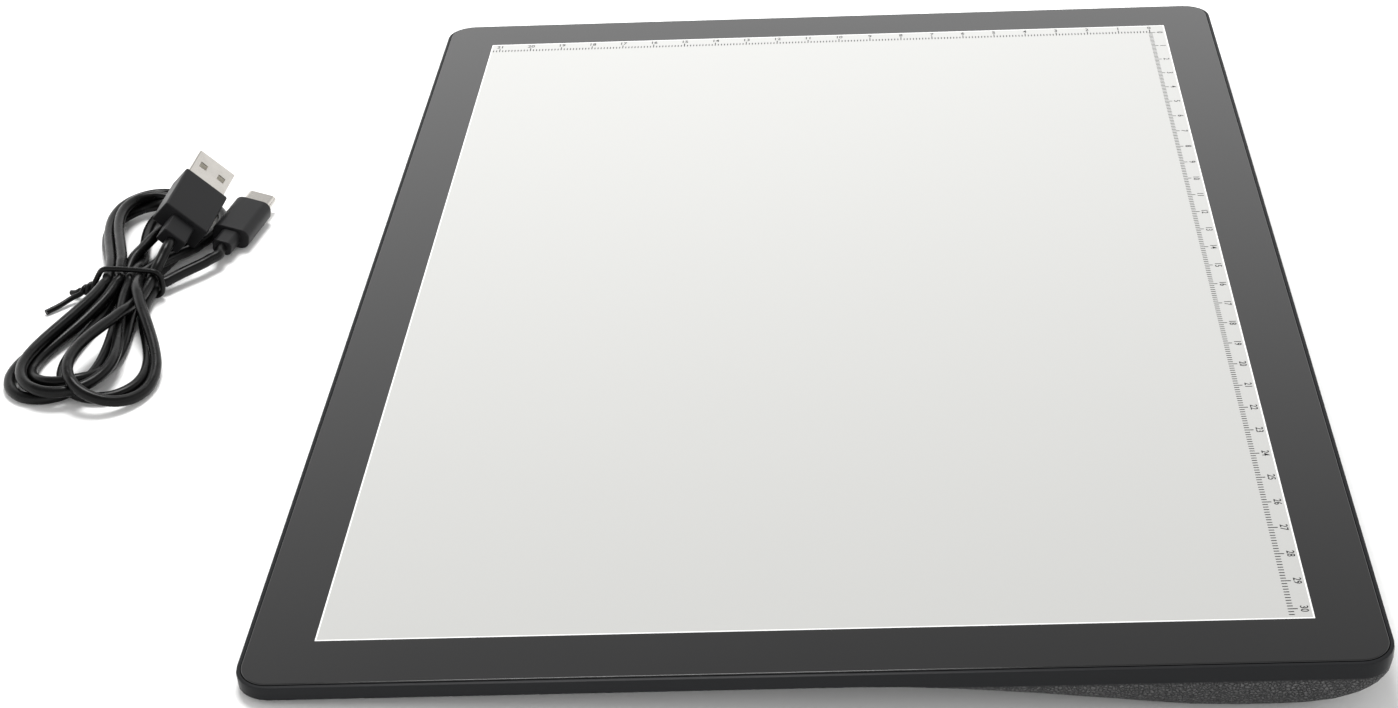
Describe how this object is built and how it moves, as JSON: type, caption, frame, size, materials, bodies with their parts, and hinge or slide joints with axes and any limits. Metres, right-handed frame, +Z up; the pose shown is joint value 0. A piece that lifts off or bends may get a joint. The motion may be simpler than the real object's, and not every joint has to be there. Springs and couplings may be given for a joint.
{
  "type": "tracing light box",
  "caption": "Slim A4-class tracing light box with a black border, edge rulers, a thick rear battery bay, and its tied USB charging lead.",
  "frame": {"origin": "bottom centre of the pad's bounding box, on the desk, with the charging lead left out", "axes": "+X along the pad's long side, +Y towards the thick battery side, +Z up"},
  "size_m": [0.34, 0.3344, 0.0195],
  "materials": {
    "top_acrylic": "gloss",
    "black_abs": "grained",
    "inner_plastic": "matte",
    "button_plastic": "satin",
    "rubber_foot": "matte",
    "screw_steel": "blackened",
    "clear_acrylic": "clear",
    "white_film": "matte",
    "tape": "matte",
    "sheet_aluminium": "mill",
    "led_phosphor": "satin",
    "circuit_board": "solder resist",
    "flex_film": "satin",
    "ivory_nylon": "matte",
    "chip_epoxy": "matte",
    "cell_pouch": "satin",
    "foam": "matte",
    "wire_red": "satin",
    "wire_black": "satin",
    "connector_steel": "nickel",
    "plug_plastic": "satin",
    "cable_jacket": "satin",
    "tie_vinyl": "matte"
  },
  "bodies": {
    "pad": {"rear_cover": "black_abs", "inner_frame": "inner_plastic", "top_panel": "top_acrylic", "cover_screw_1": "screw_steel", "cover_screw_2": "screw_steel", "cover_screw_3": "screw_steel", "cover_screw_4": "screw_steel", "cover_screw_5": "screw_steel", "cover_screw_6": "screw_steel", "foot_1": "rubber_foot", "foot_2": "rubber_foot", "foot_3": "rubber_foot", "foot_4": "rubber_foot", "panel_tape": "tape", "diffuser_sheet": "white_film", "light_guide_plate": "clear_acrylic", "reflector_sheet": "white_film", "support_plate": "sheet_aluminium", "led_strip_board": "circuit_board", "led_1": "led_phosphor", "led_2": "led_phosphor", "led_3": "led_phosphor", "led_4": "led_phosphor", "led_5": "led_phosphor", "led_6": "led_phosphor", "led_flex": "flex_film", "led_flex_socket": "ivory_nylon", "main_board": "circuit_board", "board_screw_1": "screw_steel", "board_screw_2": "screw_steel", "usb_c_receptacle": "connector_steel", "receptacle_tongue": "chip_epoxy", "indicator_light_pipe": "clear_acrylic", "indicator_led": "led_phosphor", "driver_chip": "chip_epoxy", "boost_inductor": "chip_epoxy", "battery_socket": "ivory_nylon", "battery_cell_1": "cell_pouch", "battery_cell_2": "cell_pouch", "foam_pad_1": "foam", "foam_pad_2": "foam", "battery_wire_red": "wire_red", "battery_wire_black": "wire_black", "cell_link_red": "wire_red", "cell_link_black": "wire_black", "tact_switch": "connector_steel"},
    "power_button": {"power_button": "button_plastic", "switch_plunger": "button_plastic"},
    "charging_lead": {"lead_hank": "cable_jacket", "lead_tail_usb_a": "cable_jacket", "lead_tail_usb_c": "cable_jacket", "usb_a_body": "plug_plastic", "usb_a_shell": "connector_steel", "usb_a_tongue": "ivory_nylon", "usb_c_body": "plug_plastic", "usb_c_shell": "connector_steel", "tie_loop": "tie_vinyl", "tie_end_short": "tie_vinyl", "tie_end_long": "tie_vinyl"}
  },
  "joints": [
    {"name": "button_press", "type": "slide", "parent": "pad", "child": "power_button", "axis": [0, -0.9988, -0.0487], "range_m": [0, 0.0005], "stiffness_N_per_m": 400},
    {"name": "lead_lift", "type": "slide", "parent": "pad", "child": "charging_lead", "axis": [0, 0, 1], "range_m": [0, 0.06]}
  ]
}
